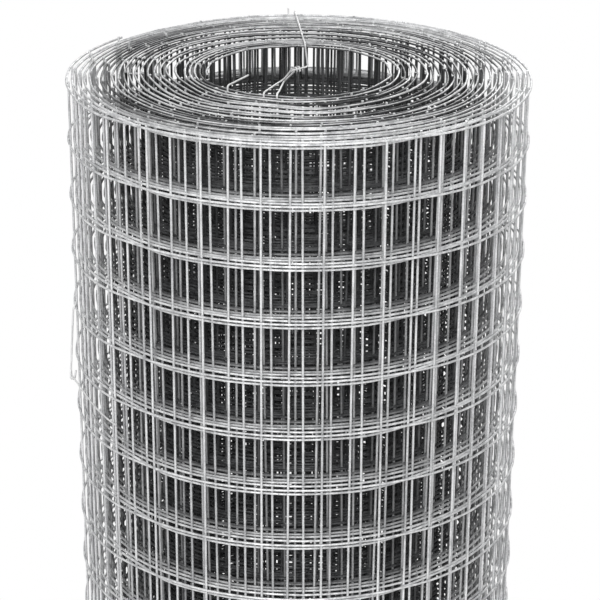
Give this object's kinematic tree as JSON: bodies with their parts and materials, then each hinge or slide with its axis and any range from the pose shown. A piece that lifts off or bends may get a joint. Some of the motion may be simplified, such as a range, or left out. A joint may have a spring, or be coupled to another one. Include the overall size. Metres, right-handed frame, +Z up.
{
  "type": "roll of welded wire mesh fencing",
  "caption": "Roll of galvanised welded square-mesh wire fencing standing on its end, wound around an open bore and held by thin tie wires.",
  "frame": {"origin": "middle of the bottom end, on the axis of the bore", "axes": "+Z up along the roll's axis, -Y towards the side that faces the camera in the picture, +X to the right of the picture"},
  "size_m": [0.4002, 0.4001, 1.0097],
  "materials": {
    "mesh_wire": "satin",
    "tie_wire": "satin"
  },
  "bodies": {
    "root": {"mesh_roll": "mesh_wire", "top_tie_wire": "tie_wire", "bore_tie_wire": "tie_wire", "side_hook_wire": "tie_wire", "side_tie_wire": "tie_wire"}
  },
  "joints": []
}
